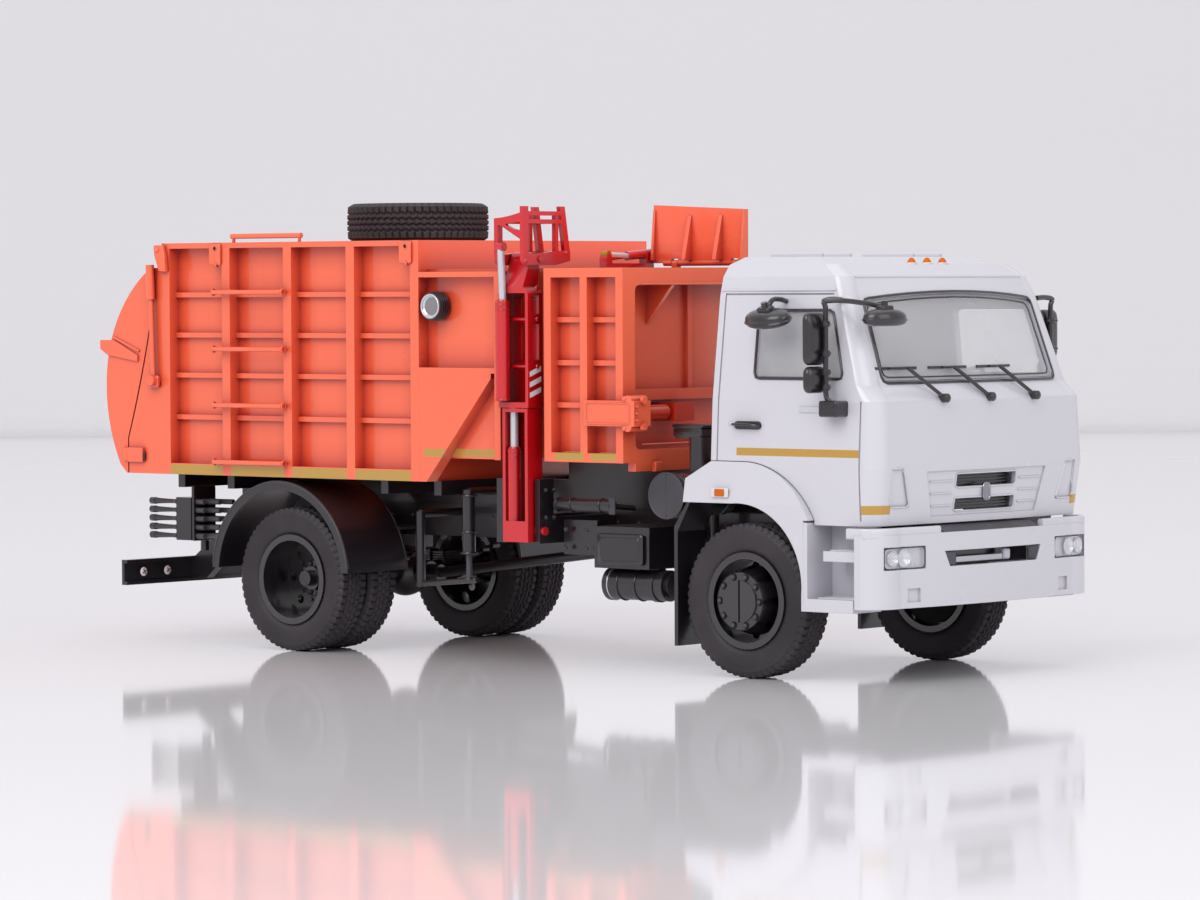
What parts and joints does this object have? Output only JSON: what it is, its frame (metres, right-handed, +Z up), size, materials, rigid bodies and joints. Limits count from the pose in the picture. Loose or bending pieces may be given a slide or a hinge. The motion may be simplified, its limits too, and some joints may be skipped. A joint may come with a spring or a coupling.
{
  "type": "garbage truck scale model",
  "caption": "Collector's scale model of a two-axle side-loading garbage truck: white cab, orange ribbed body, red side arm with a bin gripper, rear door and spare wheel on the roof.",
  "frame": {"origin": "middle of the truck's footprint, on the ground under its tyres", "axes": "+X towards the cab's front, +Y to the truck's left, +Z up; the arm is on the -Y side"},
  "size_m": [0.1714, 0.0658, 0.0758],
  "materials": {
    "tyre": "moulded black tyre rubber",
    "rim_black": "satin black painted wheel",
    "chassis_black": "satin black",
    "plastic_black": "black moulded plastic",
    "body_orange": "glossy orange paint",
    "cab_white": "glossy white paint",
    "arm_red": "glossy red paint",
    "glass_clear": "clear moulded glazing",
    "lens_clear": "clear lamp lens",
    "lens_red": "red lamp lens",
    "lens_amber": "amber lamp lens",
    "chrome_rod": "polished rod",
    "grey_plastic": "dark grey moulded plastic",
    "seat_grey": "dark grey interior"
  },
  "bodies": {
    "truck": {"spare_tyre": "tyre", "spare_rim": "rim_black", "frame_rails": "chassis_black", "cross_members": "chassis_black", "bearers": "chassis_black", "front_axle": "chassis_black", "rear_axle": "chassis_black", "leaf_springs": "chassis_black", "engine": "chassis_black", "prop_shaft": "chassis_black", "battery_box": "plastic_black", "air_tank": "chassis_black", "fuel_tank": "chassis_black", "air_cleaner": "plastic_black", "rear_mudguards": "plastic_black", "rear_bar": "chassis_black", "rear_lamps": "lens_red", "valve_levers": "chassis_black", "cab_shell": "cab_white", "cab_glass": "glass_clear", "cab_inside": "seat_grey", "bumper": "cab_white", "headlamps": "lens_clear", "grilles": "plastic_black", "nose_shelf": "grey_plastic", "front_arches": "cab_white", "entry_steps": "cab_white", "mudflaps": "plastic_black", "marker_lamps": "lens_amber", "door_handles": "plastic_black", "wipers": "plastic_black", "mirrors": "plastic_black", "load_body": "body_orange", "front_bay": "body_orange", "hopper": "body_orange", "side_cover": "body_orange", "hopper_ram": "body_orange", "lid_ram": "arm_red", "lid_hinges": "body_orange", "work_lamp": "plastic_black", "work_lamp_lens": "lens_clear", "step_bars": "body_orange", "tailgate_rams": "body_orange", "arm_guides": "chassis_black"},
    "wheel_front_left": {"tyre_front_left": "tyre", "rim_front_left": "rim_black"},
    "wheel_front_right": {"tyre_front_right": "tyre", "rim_front_right": "rim_black"},
    "wheels_rear_left": {"tyres_rear_left": "tyre", "rims_rear_left": "rim_black"},
    "wheels_rear_right": {"tyres_rear_right": "tyre", "rims_rear_right": "rim_black"},
    "rear_door": {"tailgate": "body_orange"},
    "lid": {"hopper_lid": "body_orange"},
    "arm": {"arm_column": "arm_red", "upper_arm": "arm_red", "arm_rods": "chrome_rod"},
    "grab": {"gripper": "arm_red"}
  },
  "joints": [
    {"name": "wheel_front_left_spin", "type": "hinge", "parent": "truck", "child": "wheel_front_left", "pos_m": [0.05705, 0.0237, 0.01221], "axis": [0, 1, 0], "continuous": true},
    {"name": "wheel_front_right_spin", "type": "hinge", "parent": "truck", "child": "wheel_front_right", "pos_m": [0.05705, -0.0237, 0.01221], "axis": [0, 1, 0], "continuous": true},
    {"name": "wheels_rear_left_spin", "type": "hinge", "parent": "truck", "child": "wheels_rear_left", "pos_m": [-0.04062, 0.0217, 0.01221], "axis": [0, 1, 0], "continuous": true},
    {"name": "wheels_rear_right_spin", "type": "hinge", "parent": "truck", "child": "wheels_rear_right", "pos_m": [-0.04062, -0.0217, 0.01221], "axis": [0, 1, 0], "continuous": true},
    {"name": "rear_door_lift", "type": "hinge", "parent": "truck", "child": "rear_door", "pos_m": [-0.07235, 0, 0.0683], "axis": [0, 1, 0], "range_deg": [0, 80]},
    {"name": "lid_close", "type": "hinge", "parent": "truck", "child": "lid", "pos_m": [0.02655, 0, 0.0652], "axis": [1, 0, 0], "range_deg": [-88, 0]},
    {"name": "arm_swing", "type": "hinge", "parent": "truck", "child": "arm", "pos_m": [0.01225, -0.0282, 0.022], "axis": [1, 0, 0], "range_deg": [0, 90]},
    {"name": "grab_tilt", "type": "hinge", "parent": "arm", "child": "grab", "pos_m": [0.01195, -0.0274, 0.0659], "axis": [1, 0, 0], "range_deg": [0, 90]}
  ]
}
